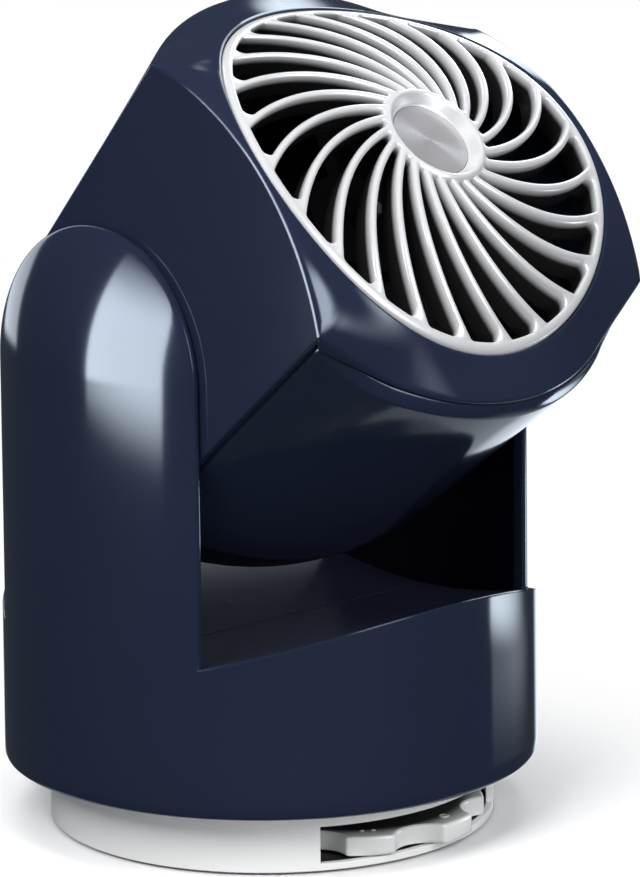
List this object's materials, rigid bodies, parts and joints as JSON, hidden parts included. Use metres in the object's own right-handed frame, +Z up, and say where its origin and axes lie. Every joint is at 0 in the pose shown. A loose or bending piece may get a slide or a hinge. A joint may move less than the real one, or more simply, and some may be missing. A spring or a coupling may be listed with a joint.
{
  "type": "air circulator fan",
  "caption": "Compact navy air circulator fan: tilting head with a silver swirl grille between the arms of a swivelling yoke, on a pale plinth with a lobed speed dial.",
  "frame": {"origin": "Centre of the non-slip pad's underside, on the table, under the swivel axis.", "axes": "+Z up along the swivel axis; -Y is the front, where the dial window is and the head blows at rest; +X is the right-hand arm seen from the front, and the tilt axis runs along X."},
  "size_m": [0.1096, 0.1255, 0.1681],
  "materials": {
    "navy_plastic": "deep navy, glossy moulded plastic",
    "silver_plastic": "bright silver moulded grille with satin sides",
    "pale_plastic": "pale silver-white moulded plastic",
    "dark_plastic": "near-black moulded plastic with a fine grain",
    "brushed_badge": "bare round disc, brushed in circles",
    "zinc_steel": "zinc plated steel",
    "iron_weight": "raw ballast casting",
    "brass_contact": "plain brass",
    "wound_copper": "enamelled copper winding over a steel core",
    "soft_rubber": "soft non-slip ring",
    "fibre_washer": "pressed fibre friction washer",
    "board_resin": "resin board with printed contact tracks"
  },
  "bodies": {
    "base": {"plinth_ring": "pale_plastic", "base_plate": "dark_plastic", "non_slip_pad": "soft_rubber", "base_screws": "zinc_steel", "cord_inlet": "dark_plastic", "swivel_washer": "pale_plastic", "contact_board": "board_resin"},
    "dial": {"speed_dial": "pale_plastic", "wiper_contact": "brass_contact"},
    "yoke": {"yoke_shell": "navy_plastic", "yoke_floor": "dark_plastic", "saddle_front": "navy_plastic", "saddle_rear": "navy_plastic", "ballast_disc": "iron_weight", "swivel_retainer": "zinc_steel", "yoke_screws": "zinc_steel", "arm_liner_left": "navy_plastic", "arm_liner_right": "navy_plastic", "tilt_pin_left": "zinc_steel", "tilt_pin_right": "zinc_steel"},
    "head": {"front_cover": "navy_plastic", "barrel": "navy_plastic", "rear_grille": "dark_plastic", "swirl_grille": "silver_plastic", "hub_badge": "brushed_badge", "tilt_bush_left": "pale_plastic", "tilt_bush_right": "pale_plastic", "friction_washers": "fibre_washer", "motor_mount": "dark_plastic", "motor_can": "zinc_steel", "motor_cap": "dark_plastic", "motor_bushes": "brass_contact", "motor_screws": "zinc_steel", "cover_screws": "zinc_steel"},
    "rotor": {"impeller": "dark_plastic", "impeller_nut": "brass_contact", "motor_shaft": "zinc_steel", "armature": "wound_copper"}
  },
  "joints": [
    {"name": "base_swivel", "type": "hinge", "parent": "base", "child": "yoke", "pos_m": [0, 0, 0.0138], "axis": [0, 0, 1], "range_deg": [-160, 160]},
    {"name": "head_tilt", "type": "hinge", "parent": "yoke", "child": "head", "pos_m": [0, 0, 0.0974], "axis": [-1, 0, 0], "range_deg": [-28, 46]},
    {"name": "fan_spin", "type": "hinge", "parent": "head", "child": "rotor", "pos_m": [0, -0.01439, 0.11129], "axis": [0, -0.7193, 0.6947], "continuous": true},
    {"name": "dial_turn", "type": "hinge", "parent": "base", "child": "dial", "pos_m": [0.00183, -0.02092, 0.005], "axis": [0, 0, 1], "range_deg": [-45, 45]}
  ]
}
